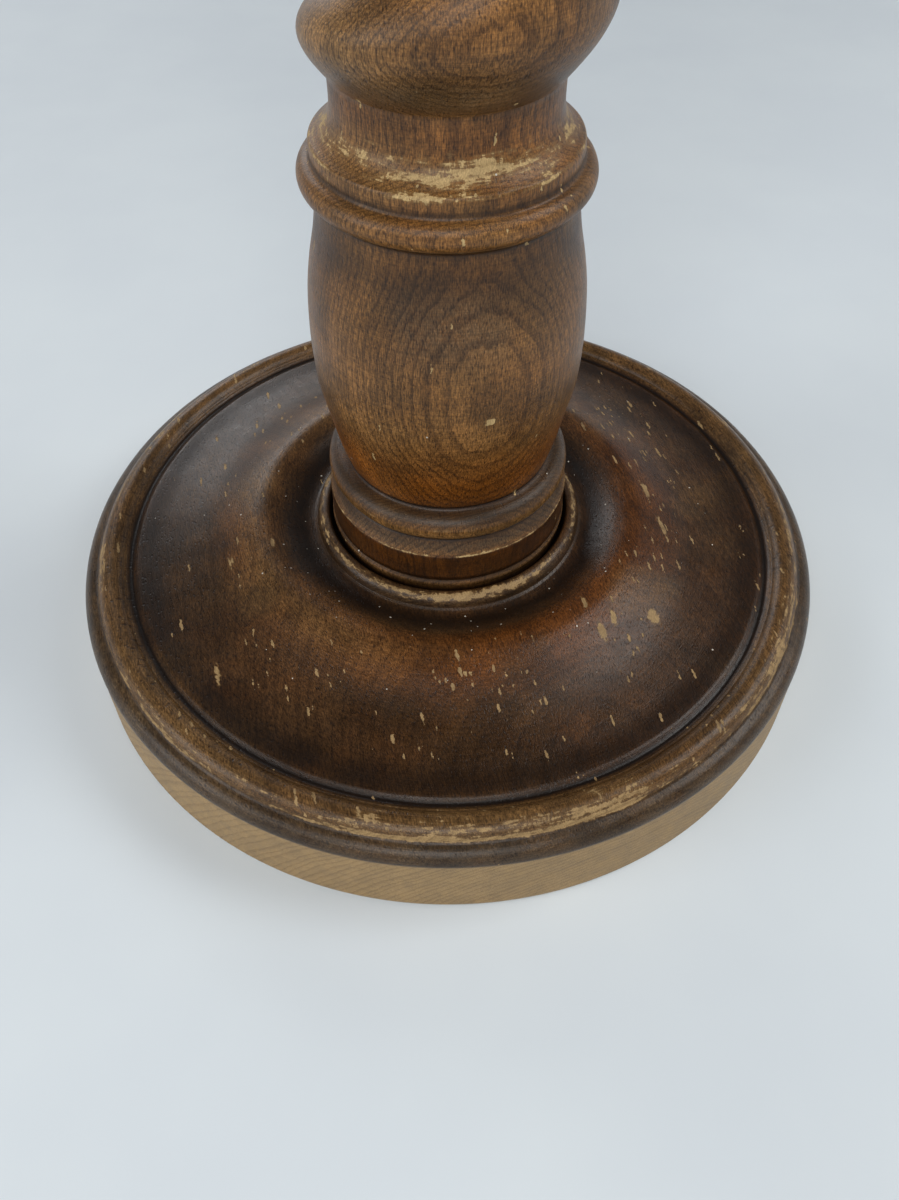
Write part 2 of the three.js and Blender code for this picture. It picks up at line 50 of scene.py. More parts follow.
# ---- sizes in millimetres, from the frame ----
BASE_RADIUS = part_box("base_disc")[1].x / MM
COLUMN_FOOT_Z, COLUMN_TOP_Z = (corner.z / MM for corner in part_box("column"))
BLOCK_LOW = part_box("pivot_block")[0] / MM
TOP_LOW, TOP_HIGH = (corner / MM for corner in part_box("top_board_middle"))
BACK_BOARD_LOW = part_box("top_board_back")[0] / MM
BOARD_JOINT_Y = (TOP_HIGH.y + BACK_BOARD_LOW.y) / 2
TENON_RADIUS = 19
MORTISE_RADIUS = 19.3
SOCKET_FLOOR_Z = 37
LOWER_NECK_Z = 182.5
UPPER_NECK_Z = 473.5
NECK_RADIUS = 27.9
TWIST_RADIUS = 37.7
TWIST_PITCH = 80
TWIST_GROOVE_DEPTH = 20
TWIST_GROOVE_SHARPNESS = 2.2
TWIST_FLARE = 17.5
TWIST_FADE = 27
TWIST_START_ANGLE = 1.375 * math.pi


# ---- outlines: arrays of (radius, height) in millimetres ----
def arc(cx, cz, radius, start, end, steps=14):
    angle = np.radians(np.linspace(start, end, steps))
    return np.stack([cx + radius * np.cos(angle), cz + radius * np.sin(angle)], 1)


def curve(points, steps=10):
    """A Catmull-Rom curve through the points, with this many steps between two of them."""
    p = np.array(points, float)
    p = np.vstack([2 * p[0] - p[1], p, 2 * p[-1] - p[-2]])
    t = np.linspace(0, 1, steps, endpoint=False)[:, None]
    rows = []
    for a, b, c, d in zip(p, p[1:], p[2:], p[3:]):
        rows.append(0.5 * (2 * b + (c - a) * t + (2 * a - 5 * b + 4 * c - d) * t**2
                           + (3 * b - a - 3 * c + d) * t**3))
    return np.vstack([*rows, p[-2][None]])


def lines(*points):
    return np.array(points, float)


def spaced(outline, step):
    """The outline with extra points, so that no stretch is longer than step."""
    rows = [outline[:1]]
    for a, b in zip(outline, outline[1:]):
        parts = max(1, int(np.ceil(np.linalg.norm(b - a) / step)))
        rows.append(a + (b - a) * (np.arange(1, parts + 1) / parts)[:, None])
    return np.vstack(rows)


def smooth(value, low, high):
    t = np.clip((value - low) / (high - low), 0, 1)
    return t * t * (3 - 2 * t)


def hump(value, centre, width):
    return np.exp(-(((value - centre) / width) ** 2))


def lattice_noise(points, cell, seed):
    """Smooth noise from -1 to 1 at points in millimetres, with cells of this size."""
    p = points / cell + seed * 17.31
    low = np.floor(p)
    t = p - low
    t = t * t * (3 - 2 * t)
    total = np.zeros(len(p))
    for corner in np.ndindex(2, 2, 2):
        spot = low + corner
        value = np.sin(spot @ (127.1, 311.7, 74.7) + seed) * 43758.5453
        value = 2 * (value - np.floor(value)) - 1
        total += value * np.prod(np.where(corner, t, 1 - t), 1)
    return total


# ---- meshes ----
def new_piece(name, vertices, faces):
    """A mesh object from vertices in millimetres."""
    mesh = bpy.data.meshes.new(name)
    mesh.from_pydata((np.asarray(vertices) * MM).tolist(), [], faces)
    mesh.validate()
    mesh.update()
    mesh.shade_smooth()
    piece = bpy.data.objects.new(name, mesh)
    bpy.context.scene.collection.objects.link(piece)
    return piece


def set_attribute(piece, name, values):
    layer = piece.data.attributes.new(name, "FLOAT", "POINT")
    layer.data.foreach_set("value", np.clip(values, 0, 1).astype(np.float32))


def vertices_mm(piece):
    places = np.empty(len(piece.data.vertices) * 3, np.float32)
    piece.data.vertices.foreach_get("co", places)
    return places.reshape(-1, 3).astype(float) / MM


def turned(outline, segments, closed, shape=None):
    """Vertices and faces of an outline turned about Z. An open outline starts and ends on the axis.

    shape(radius, angle, height) may change the radius.
    """
    rings = outline if closed else outline[1:-1]
    angle = np.linspace(0, 2 * np.pi, segments, endpoint=False)
    radius = np.repeat(rings[:, :1], segments, 1)
    height = np.repeat(rings[:, 1:], segments, 1)
    angles = np.repeat(angle[None], len(rings), 0)
    if shape is not None:
        radius = shape(radius, angles, height)
    places = np.stack([radius * np.cos(angles), radius * np.sin(angles), height], -1).reshape(-1, 3)
    count = len(rings)
    faces = []
    for row in range(count if closed else count - 1):
        low, high = row * segments, ((row + 1) % count) * segments
        for i in range(segments):
            j = (i + 1) % segments
            faces.append((low + i, low + j, high + j, high + i))
    if not closed:
        bottom, top = len(places), len(places) + 1
        places = np.vstack([places, [[0, 0, outline[0, 1]], [0, 0, outline[-1, 1]]]])
        last = (count - 1) * segments
        for i in range(segments):
            j = (i + 1) % segments
            faces.append((bottom, j, i))
            faces.append((top, last + i, last + j))
    return places, faces


def refined_copy(name, node, bevel=0.5, segments=3, angle=25):
    """The CAD node's own shape as a new piece, with flat facets merged and its edges rounded."""
    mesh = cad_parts[node].data.copy()
    mesh.name = name
    piece = bpy.data.objects.new(name, mesh)
    bpy.context.scene.collection.objects.link(piece)
    form = bmesh.new()
    form.from_mesh(mesh)
    bmesh.ops.remove_doubles(form, verts=form.verts, dist=1e-6)
    bmesh.ops.dissolve_limit(form, angle_limit=math.radians(0.5), verts=form.verts, edges=form.edges)
    form.to_mesh(mesh)
    form.free()
    mesh.materials.clear()
    for polygon in mesh.polygons:
        polygon.use_smooth = True
    rounding = piece.modifiers.new("rounded edges", "BEVEL")
    rounding.width = bevel * MM
    rounding.segments = segments
    rounding.limit_method = "ANGLE"
    rounding.angle_limit = math.radians(angle)
    rounding.harden_normals = True
    rounding.use_clamp_overlap = True
    return piece


def finish_piece(piece, body, slot, material, *nodes):
    piece.data.materials.clear()
    piece.data.materials.append(material)
    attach(piece, body)
    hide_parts(*nodes)


# ---- material nodes ----
class Shader:
    """A material's node tree, with short calls for the nodes used here."""

    def __init__(self, name):
        self.material = bpy.data.materials.new(name)
        self.material.use_nodes = True
        self.tree = self.material.node_tree
        self.surface = self.tree.nodes["Principled BSDF"]

    def put(self, socket, value):
        if isinstance(value, bpy.types.NodeSocket):
            self.tree.links.new(value, socket)
        else:
            socket.default_value = value

    def node(self, kind, inputs=(), **settings):
        made = self.tree.nodes.new("ShaderNode" + kind)
        for key, value in settings.items():
            setattr(made, key, value)
        for key, value in dict(inputs).items():
            self.put(made.inputs[key], value)
        return made

    def math(self, operation, a, b=0.0, c=0.0, clamp=False):
        return self.node("Math", {0: a, 1: b, 2: c}, operation=operation, use_clamp=clamp).outputs[0]

    def vector(self, operation, a, b=(0, 0, 0)):
        made = self.node("VectorMath", {0: a, 1: b}, operation=operation)
        return made.outputs["Value" if operation in ("DOT_PRODUCT", "LENGTH") else "Vector"]

    def turning(self, place, girth, length, width):
        """Noise drawn out round the Z axis, of this length round the turning and width across it."""
        flat = self.vector("MULTIPLY", place, (1, 1, 0))
        around = self.vector("MULTIPLY", self.vector("NORMALIZE", flat), (girth / length,) * 3)
        upward = self.vector("MULTIPLY", place, (0, 0, 1 / width))
        out = self.math("DIVIDE", self.vector("LENGTH", flat), width)
        inputs = {"Vector": self.vector("ADD", around, upward), "W": out, "Scale": 1.0, "Detail": 3.0,
                  "Roughness": 0.6}
        return self.node("TexNoise", inputs, noise_dimensions="4D").outputs["Fac"]

    def combine(self, x, y, z):
        return self.node("CombineXYZ", {0: x, 1: y, 2: z}).outputs[0]

    def noise(self, where, scale=1.0, detail=3.0, rough=0.55, distort=0.0):
        inputs = {"Vector": where, "Scale": scale, "Detail": detail, "Roughness": rough,
                  "Distortion": distort}
        return self.node("TexNoise", inputs).outputs["Fac"]

    def step(self, value, low, high, to_low=0.0, to_high=1.0):
        inputs = {"Value": value, "From Min": low, "From Max": high, "To Min": to_low, "To Max": to_high}
        return self.node("MapRange", inputs, interpolation_type="SMOOTHSTEP").outputs[0]

    def mix(self, factor, a, b, blend="MIX"):
        made = self.node("Mix", {0: factor, 6: a, 7: b}, data_type="RGBA", blend_type=blend)
        return made.outputs[2]

    def attribute(self, name):
        return self.node("Attribute", attribute_name=name).outputs["Fac"]

    def set(self, **values):
        for key, value in values.items():
            self.put(self.surface.inputs[key.replace("_", " ")], value)


def srgb(red, green, blue):
    """A colour from 0-255 display values, as the linear RGBA that a shader takes."""
    linear = [v / 12.92 if v <= 0.04045 else ((v + 0.055) / 1.055) ** 2.4
              for v in (red / 255, green / 255, blue / 255)]
    return (*linear, 1.0)


class Timber:
    """Where a piece was cut from its log: the grain's direction and a point on the pith, in millimetres."""

    def __init__(self, grain, pith, ring=1.5, sway=2.5):
        self.grain = Vector(grain).normalized()
        side = UP if abs(self.grain.z) < 0.7 else Vector((1, 0, 0))
        self.across = self.grain.cross(side).normalized()
        self.through = self.grain.cross(self.across).normalized()
        self.pith = Vector(pith)
        self.ring = ring
        self.sway = sway


def timber_fields(shader, timber):
    """Sockets for the wood's figure: place in mm, ring lines, rays, pores and fine mottle."""
    coordinates = shader.node("TexCoord").outputs["Object"]
    place = shader.vector("MULTIPLY", coordinates, (1 / MM,) * 3)
    from_pith = shader.vector("SUBTRACT", place, tuple(timber.pith))
    along = shader.vector("DOT_PRODUCT", from_pith, tuple(timber.grain))
    u = shader.vector("DOT_PRODUCT", from_pith, tuple(timber.across))
    v = shader.vector("DOT_PRODUCT", from_pith, tuple(timber.through))
    slow = shader.combine(shader.math("MULTIPLY", u, 0.03), shader.math("MULTIPLY", v, 0.03),
                          shader.math("MULTIPLY", along, 0.008))
    sway = shader.math("MULTIPLY_ADD", shader.noise(slow, 1, 2), 2 * timber.sway, -timber.sway)
    ripple = shader.math("MULTIPLY_ADD", shader.noise(slow, 9, 2), 0.9, -0.45)
    distance = shader.math("SQRT", shader.math("ADD", shader.math("MULTIPLY", u, u),
                                               shader.math("MULTIPLY", v, v)))
    radial = shader.math("ADD", distance, shader.math("ADD", sway, ripple))
    uneven = shader.noise(shader.combine(shader.math("MULTIPLY", radial, 0.2), 0.0, 0.0), 1, 2)
    ring_phase = shader.math("FRACT", shader.math("ADD", shader.math("DIVIDE", radial, timber.ring),
                                                  shader.math("MULTIPLY", uneven, 2.0)))
    late = shader.math("MULTIPLY", shader.step(ring_phase, 0.45, 0.9), shader.step(ring_phase, 1.0, 0.93))
    year = shader.noise(shader.combine(shader.math("DIVIDE", radial, 4 * timber.ring), 0.0, 0.0), 1, 2)
    turn = shader.math("MULTIPLY", shader.math("ARCTAN2", v, u), 75.0)
    ray_place = shader.combine(shader.math("DIVIDE", turn, 0.5), shader.math("DIVIDE", along, 1.9),
                               shader.math("DIVIDE", distance, 6.0))
    rays = shader.node("TexVoronoi", {"Vector": ray_place, "Scale": 1.0, "Randomness": 1.0})
    ray = shader.step(rays.outputs["Distance"], 0.34, 0.12)
    fibre_place = shader.combine(shader.math("DIVIDE", u, 0.3), shader.math("DIVIDE", v, 0.3),
                                 shader.math("DIVIDE", along, 2.4))
    fibre = shader.noise(fibre_place, 1, 3, 0.65)
    return {"place": place, "along": along, "u": u, "v": v, "late": late, "year": year, "ray": ray,
            "fibre": fibre}


class Stain:
    """The colours of one stained and polished finish, from deepest to rubbed through; its third colour is a
    painted sheen, and its dark colour paints shade in creases and recesses as well as grime.
    """

    def __init__(self, brown, warm, grey, dark, thin, pale):
        self.brown, self.warm, self.grey = brown, warm, grey
        self.dark, self.thin, self.pale = dark, thin, pale


def shaded(shader, share, colour, tint):
    """The colour multiplied by the tint, by this share."""
    return shader.mix(share, colour, shader.mix(1.0, colour, (*tint, 1), "MULTIPLY"))


def toned(shader, value, low, high, colour):
    """The colour made darker or lighter by a noise value, from low to high."""
    tone = shader.step(value, 0.3, 0.7, low, high)
    return shader.mix(1.0, colour, shader.combine(tone, tone, tone), "MULTIPLY")


def rubbed_marks(s, f, patch, girth):
    """Where the stain is rubbed: ragged patches drawn out round the turning and along the grain."""
    streak_place = s.combine(s.math("MULTIPLY", f["u"], 0.9), s.math("MULTIPLY", f["v"], 0.9),
                             s.math("MULTIPLY", f["along"], 0.2))
    streak = s.noise(streak_place, 1, 4, 0.7)
    around = s.turning(f["place"], girth, 7, 1.1)
    mixed = s.math("MULTIPLY_ADD", around, 0.5, s.math("MULTIPLY", streak, 0.3))
    return s.math("MULTIPLY_ADD", patch, 0.2, mixed)


def flakes(s, f, likely):
    """Small flakes of lost finish, longer along the grain."""
    flake_place = s.combine(s.math("MULTIPLY", f["u"], 0.62), s.math("MULTIPLY", f["v"], 0.55),
                            s.math("MULTIPLY", f["along"], 0.13))
    ragging = s.node("TexNoise", {"Vector": f["place"], "Scale": 0.9, "Detail": 4.0}).outputs["Color"]
    ragged = s.vector("ADD", flake_place, s.vector("MULTIPLY", ragging, (0.7, 0.7, 0.7)))
    cells = s.node("TexVoronoi", {"Vector": ragged, "Scale": 1.0, "Randomness": 1.0})
    chosen = s.node("SeparateColor", {0: cells.outputs["Color"]})
    picked = s.math("LESS_THAN", chosen.outputs[0], likely)
    reach = s.math("MULTIPLY_ADD", chosen.outputs[1], 0.24, 0.12)
    inside = s.step(s.math("SUBTRACT", cells.outputs["Distance"], reach), 0.02, -0.03)
    return s.math("MULTIPLY", picked, inside)


def dust_specks(s, place, likely):
    cells = s.node("TexVoronoi", {"Vector": place, "Scale": 0.55, "Randomness": 1.0})
    chosen = s.node("SeparateColor", {0: cells.outputs["Color"]})
    size = s.math("MULTIPLY_ADD", chosen.outputs[1], 0.13, 0.05)
    inside = s.step(s.math("SUBTRACT", cells.outputs["Distance"], size), 0.02, -0.02)
    return s.math("MULTIPLY", s.math("LESS_THAN", chosen.outputs[0], likely), inside)


def stained_wood(name, timber, stain, gloss=0.36, girth=40.0, zoned=True, figure=0.5):
    """Stained and polished beech, blended by the piece's zones.

    The zones are a warmer stain, a painted sheen, thinned stain that on some sides is also a painted sheen,
    a dark that paints shade in creases and recesses as well as grime, wear, bare wood, chips and dust.
    """
    s = Shader(name)
    f = timber_fields(s, timber)
    place = f["place"]
    zone = s.attribute if zoned else lambda key: 0.0
    cloud = s.noise(place, 0.045, 3, 0.6)
    patch = s.noise(place, 0.2, 4, 0.6)
    mottle = s.noise(place, 1.6, 3, 0.7)
    marks = s.turning(place, girth, 14, 0.35)

    warm = s.math("MULTIPLY_ADD", s.math("SUBTRACT", cloud, 0.5), 0.9, zone("warm"), clamp=True)
    colour = s.mix(warm, stain.brown, stain.warm)
    # Thinned stain by its zone; on some sides this zone is also a painted sheen
    thin = s.math("MULTIPLY", zone("thin"), s.step(marks, 0.15, 0.75, 0.55, 1.1), clamp=True)
    colour = s.mix(thin, colour, stain.thin)
    # A painted sheen, laid by its zone in mottled patches
    grey = s.math("MULTIPLY", zone("grey"), s.step(s.math("MULTIPLY_ADD", mottle, 0.6, s.math(
        "MULTIPLY", patch, 0.4)), 0.34, 0.6, 0.3, 1.0), clamp=True)
    colour = s.mix(grey, colour, stain.grey)
    colour = shaded(s, s.math("MULTIPLY", f["late"], figure), colour, (0.38, 0.36, 0.38))
    colour = toned(s, f["year"], 0.86, 1.12, colour)
    colour = toned(s, s.noise(place, 0.07, 2, 0.5), 0.72, 1.28, colour)
    colour = toned(s, f["fibre"], 0.44, 1.62, colour)
    colour = toned(s, marks, 0.84, 1.18, colour)
    colour = toned(s, mottle, 0.72, 1.3, colour)
    colour = shaded(s, s.math("MULTIPLY", f["ray"], 0.85), colour, (0.36, 0.32, 0.32))
    # Painted shade in creases and recesses, together with grime, laid by the dark zone
    crease_shade_and_grime = s.math("MULTIPLY", zone("dark"), s.step(patch, 0.1, 0.6, 0.78, 1.0), clamp=True)
    colour = s.mix(crease_shade_and_grime, colour, stain.dark)

    rubbed = rubbed_marks(s, f, patch, girth)
    edge = s.math("MULTIPLY_ADD", zone("worn"), -0.46, 0.74)
    over = s.math("SUBTRACT", rubbed, edge)
    worn_thin = toned(s, f["fibre"], 0.75, 1.25, stain.thin)
    colour = s.mix(s.step(over, -0.10, 0.0, 0.0, 0.75), colour, worn_thin)
    likely = s.math("MULTIPLY_ADD", zone("chips"), 1.1, 0.004)
    flake = flakes(s, f, likely)
    lost = s.math("MAXIMUM", s.math("MAXIMUM", s.step(over, -0.012, 0.025), flake), zone("bare"))
    pale = shaded(s, s.math("MULTIPLY", f["late"], 0.45), stain.pale, (0.55, 0.5, 0.45))
    pale = toned(s, f["fibre"], 0.72, 1.2, pale)
    pale = toned(s, patch, 0.84, 1.1, pale)
    colour = s.mix(lost, colour, pale)
    dust = dust_specks(s, place, s.math("MULTIPLY_ADD", zone("dust"), 0.4, 0.003))
    colour = s.mix(dust, colour, srgb(196, 190, 178))

    rough = s.math("MULTIPLY_ADD", patch, 0.2, gloss - 0.1)
    rough = s.math("MULTIPLY_ADD", marks, 0.14, s.math("SUBTRACT", rough, 0.07))
    rough = s.math("MULTIPLY_ADD", lost, 0.22, rough, clamp=True)
    height = s.math("MULTIPLY_ADD", f["ray"], -0.7, s.math("MULTIPLY", f["fibre"], 1.1))
    height = s.math("MULTIPLY_ADD", marks, 0.7, height)
    height = s.math("MULTIPLY_ADD", flake, -1.8, height)
    height = s.math("MULTIPLY_ADD", dust, 1.5, height)
    bump = s.node("Bump", {"Height": height, "Strength": 0.45, "Distance": 0.12 * MM})
    s.set(Base_Color=colour, Roughness=rough, Normal=bump.outputs[0], Specular_IOR_Level=0.33)
    return s.material


def bare_wood(name, timber, colour):
    s = Shader(name)
    f = timber_fields(s, timber)
    late_wood = s.mix(1.0, colour, (0.6, 0.52, 0.45, 1), "MULTIPLY")
    ray_wood = s.mix(1.0, colour, (0.5, 0.4, 0.3, 1), "MULTIPLY")
    tint = s.mix(s.math("MULTIPLY", f["late"], 0.4), colour, late_wood)
    tint = s.mix(s.math("MULTIPLY", f["ray"], 0.4), tint, ray_wood)
    tint = toned(s, f["fibre"], 0.8, 1.15, tint)
    bump = s.node("Bump", {"Height": f["fibre"], "Strength": 0.3, "Distance": 0.1 * MM})
    s.set(Base_Color=tint, Roughness=s.step(f["fibre"], 0.2, 0.8, 0.55, 0.75), Normal=bump.outputs[0])
    return s.material


def old_metal(name, colour, tarnish, rough):
    s = Shader(name)
    place = s.vector("MULTIPLY", s.node("TexCoord").outputs["Object"], (1 / MM,) * 3)
    cloud = s.noise(place, 0.35, 5, 0.65)
    scratch = s.noise(s.vector("MULTIPLY", place, (6.0, 0.6, 6.0)), 1, 3, 0.6)
    tint = s.mix(s.step(cloud, 0.35, 0.7), colour, tarnish)
    roughness = s.math("ADD", s.math("MULTIPLY_ADD", cloud, 0.35, rough - 0.15),
                       s.math("MULTIPLY", scratch, 0.12), clamp=True)
    bump = s.node("Bump", {"Height": scratch, "Strength": 0.25, "Distance": 0.05 * MM})
    s.set(Base_Color=tint, Roughness=roughness, Normal=bump.outputs[0], Metallic=1.0)
    return s.material


# In each stain the third colour is a painted sheen, the fourth (the dark) paints shade in creases and
# recesses as well as grime, and the fifth, thinned stain, is on some sides also a painted sheen
COLUMN_STAIN = Stain(srgb(108, 75, 38), srgb(112, 64, 18), srgb(72, 61, 46), srgb(26, 15, 8),
                     srgb(124, 94, 56), srgb(182, 154, 106))
BASE_STAIN = Stain(srgb(66, 44, 23), srgb(89, 50, 18), srgb(78, 67, 50), srgb(17, 9, 5),
                   srgb(100, 74, 43), srgb(158, 130, 88))

COLUMN_TIMBER = Timber((0.02, 0.03, 1), (-24, 71, 0), 1.1, 0.8)
BASE_TIMBER = Timber((0.26, -0.966, 0.02), (18, 0, -55), 1.9, 2.5)

WOOD_COLUMN = stained_wood("stained_column", COLUMN_TIMBER, COLUMN_STAIN, 0.36, 36, figure=0.62)
WOOD_BASE = stained_wood("stained_base", BASE_TIMBER, BASE_STAIN, 0.31, 110, figure=0.34)
WOOD_BLOCK = stained_wood("stained_block", Timber((1, 0.02, 0.01), (0, 30, 470), 2), COLUMN_STAIN, 0.45,
                          zoned=False)
WOOD_BEARERS = stained_wood("stained_bearers", Timber((0.01, 1, 0.02), (20, 0, 500), 2), COLUMN_STAIN, 0.5,
                            zoned=False)
BEECH_COLOUR = srgb(176, 138, 94)
BARE = bare_wood("bare_beech", Timber((1, 0.02, 0), (0, 40, 400), 2.4), BEECH_COLOUR)
BARE_UPRIGHT = bare_wood("bare_beech_upright", Timber((0, 0.02, 1), (0, 60, 0), 2.4), BEECH_COLOUR)
BRASS = old_metal("old_brass", srgb(190, 150, 78), srgb(112, 84, 44), 0.34)
STEEL = old_metal("old_steel", srgb(120, 118, 112), srgb(70, 62, 54), 0.42)
SPRING_STEEL = old_metal("spring_steel", srgb(150, 150, 148), srgb(96, 94, 90), 0.3)


# ---- the turned base ----
def base_outline():
    outer = BASE_RADIUS
    return spaced(np.vstack([
        lines((MORTISE_RADIUS, 4), (103.5, 4), (104, 3.9), (105.8, 0.3), (106.1, 0)),
        lines((outer - 1.2, 0), (outer - 0.5, 0.25), (outer - 0.1, 0.9), (outer, 1.7)),
        lines((outer - 0.95, 24.3)),
        arc(121.2, 24.6, 5, 8, 82, 12),
        arc(116.2, 28.6, 4.8, 16, 150, 22),
        curve([(111.6, 30.9), (110.7, 30.3), (109.7, 30.1), (108.7, 30.5)], 4),
        curve([(107.6, 31.1), (98, 31.8), (84, 34.6), (70, 40.4), (63.5, 42.1), (58, 41.1), (53, 38.9),
               (49.2, 37.6), (46.4, 37.4), (45.1, 37.9)], 14),
        arc(41.5, 38.4, 3.5, 4, 92, 16),
        curve([(40.9, 41.7), (40.4, 41), (40, 39.8), (39.7, 38.4)], 4),
        lines((39.6, SOCKET_FLOOR_Z), (MORTISE_RADIUS, SOCKET_FLOOR_Z)),
    ]), 1.25)


# Old flakes on the bell: place, and half length and width along and across the grain.
BASE_SCARS = [(65.7, -46.6, 3.4, 2.6), (48, -55, 4.2, 1.5), (52, -50, 3.0, 1.2), (43, -46, 3.2, 0.9),
              (73, -10, 4.5, 1.2), (69, 6, 4, 1.3), (-72, -25, 3.2, 1.0), (-71, -67, 5, 0.9),
              (-58, -20, 3, 0.8)]

# Radii of the base's mouldings, where its painted shade with grime (groove, hollow) and its wear (lip) lie.
GROOVE_RADIUS = 109.8
HOLLOW_RADIUS = 50.5
LIP_RADIUS = 43.2
BASE_SEGMENTS = 440


def make_base():
    outline = base_outline()
    keep = np.r_[True, np.linalg.norm(np.diff(outline, axis=0), axis=1) > 0.02]
    vertices, faces = turned(outline[keep], BASE_SEGMENTS, closed=True)
    piece = new_piece("turned_base", vertices, faces)
    p = vertices_mm(piece)
    radius, angle = np.hypot(p[:, 0], p[:, 1]), np.arctan2(p[:, 1], p[:, 0])
    z = p[:, 2]
    upper = smooth(z, 26, 30)
    near = 0.5 - 0.5 * np.sin(angle)
    drift = lattice_noise(p, 22, 3)
    # age: the turning isn't quite true, and the surface has shallow dents
    wave = 0.10 * lattice_noise(p, 30, 5) + 0.05 * lattice_noise(p, 7, 6)
    wave *= smooth(radius, 42, 50) * (z > 2)
    moved = p.copy()
    moved[:, 2] += np.where(z > 26, wave, 0)
    piece.data.vertices.foreach_set("co", (moved * MM).astype(np.float32).ravel())

    on_bead = smooth(radius, 110, 112) * smooth(z, 26.4, 27.4) * smooth(radius, 121.3, 120.6)
    band = smooth(radius, 120.5, 121.4) * smooth(z, 24.3, 24.9)
    side = smooth(z, 24.9, 24.3) * (radius > 30)
    crest = smooth(radius, 55, 62) * smooth(radius, 84, 66)
    grain_x, grain_y = BASE_TIMBER.grain.x, BASE_TIMBER.grain.y
    scars = np.zeros(len(p))
    for x, y, length, width in BASE_SCARS:
        along = (p[:, 0] - x) * grain_x + (p[:, 1] - y) * grain_y
        across = (p[:, 0] - x) * grain_y - (p[:, 1] - y) * grain_x
        scars = np.maximum(scars, np.exp(-((along / length) ** 2) - (across / width) ** 2))
    bead_wear = 0.20 + 0.20 * hump(radius, 119, 1.8) + 0.08 * near + 0.22 * drift
    set_attribute(piece, "worn", on_bead * bead_wear
                  + 0.75 * hump(radius, LIP_RADIUS, 1.7) * upper * (0.75 + 0.5 * drift)
                  + 0.95 * scars * upper
                  + 0.3 * smooth(radius, 119.9, 120.8) * smooth(radius, 121.4, 121) * near)
    # A warmer stain on the crest and on the right, strongest at the front: partly the stain's colour,
    # partly a painted glow of light
    set_attribute(piece, "warm", 0.05 + 0.85 * crest * (0.35 + 0.65 * near + 0.25 * drift)
                  + 0.2 * smooth(p[:, 0], 0, 80) * upper)
    golden = smooth(lattice_noise(p, 26, 21) + 0.5 * lattice_noise(p, 9, 22), 0.05, 0.9)
    # Thinned stain on the bead, the band and in golden patches on the crest is wear and tone; the extra on
    # the crest's left side is a painted highlight
    set_attribute(piece, "thin", on_bead * (0.72 + 0.2 * drift) + 0.35 * band
                  + upper * (0.5 * golden * smooth(radius, 58, 68)
                             + 0.75 * hump(radius, 66, 8) * smooth(p[:, 0], 20, -45)))
    # A painted sheen on the far side of the bell, on the band under the bead and on the lip
    set_attribute(piece, "grey", 0.35 * hump(radius, 92, 13) * upper * (1 - near) + 0.55 * band
                  + 0.35 * hump(radius, 44, 2) * upper)
    # Painted shade, with some grime, in the groove, the hollow round the lip, the socket and the rim's
    # creases; also darker from r 75 mm out to the groove
    set_attribute(piece, "dark", upper * (0.95 * hump(radius, GROOVE_RADIUS, 1.1)
                                          + 0.9 * hump(radius, HOLLOW_RADIUS, 5.5)
                                          + 0.95 * smooth(radius, 41.4, 40.4) + 0.5 * hump(radius, 104, 6)
                                          + 0.8 * hump(radius, 121.1, 0.5) + 0.25 * smooth(radius, 75, 95)
                                          * smooth(radius, 109, 106))
                  + 0.9 * hump(z, 24.7, 0.5) * smooth(radius, 125, 126) + 0.3 * band)
    set_attribute(piece, "bare", 0.96 * side)
    set_attribute(piece, "chips", upper * smooth(radius, 60, 64) * smooth(radius, 109, 107)
                  * (0.16 + 0.62 * hump(radius, 74, 11) + 0.16 * hump(radius, 92, 9))
                  * (0.45 + 0.55 * smooth(p[:, 0], -30, 60)) * (0.6 + 0.9 * lattice_noise(p, 16, 9))
                  + 0.12 * on_bead)
    set_attribute(piece, "dust", upper * (0.42 * hump(radius, 53, 8) + 0.05 * hump(radius, 80, 25)))
    finish_piece(piece, "stand", "dark_stained_beech", WOOD_BASE, "base_disc")


# ---- the barley-twist column ----
def blank_radius(z):
    from_end = np.minimum(z - LOWER_NECK_Z, UPPER_NECK_Z - z) / TWIST_FLARE
    share = np.sin(np.clip(from_end, 0, 1) * np.pi / 2)
    return NECK_RADIUS + (TWIST_RADIUS - NECK_RADIUS) * share


def groove_share(angle, z):
    """How far round the groove's section this point is: 0 on the ridge, 1 in the middle of the groove."""
    phase = angle - TWIST_START_ANGLE - (z - LOWER_NECK_Z) / TWIST_PITCH * 2 * np.pi
    return ((1 - np.cos(phase)) / 2) ** TWIST_GROOVE_SHARPNESS


def twisted(radius, angle, z):
    from_end = np.minimum(z - LOWER_NECK_Z, UPPER_NECK_Z - z) / TWIST_FADE
    depth = TWIST_GROOVE_DEPTH * smooth(from_end, 0, 1) * groove_share(angle, z)
    return radius - np.where((z > LOWER_NECK_Z) & (z < UPPER_NECK_Z), depth, 0)


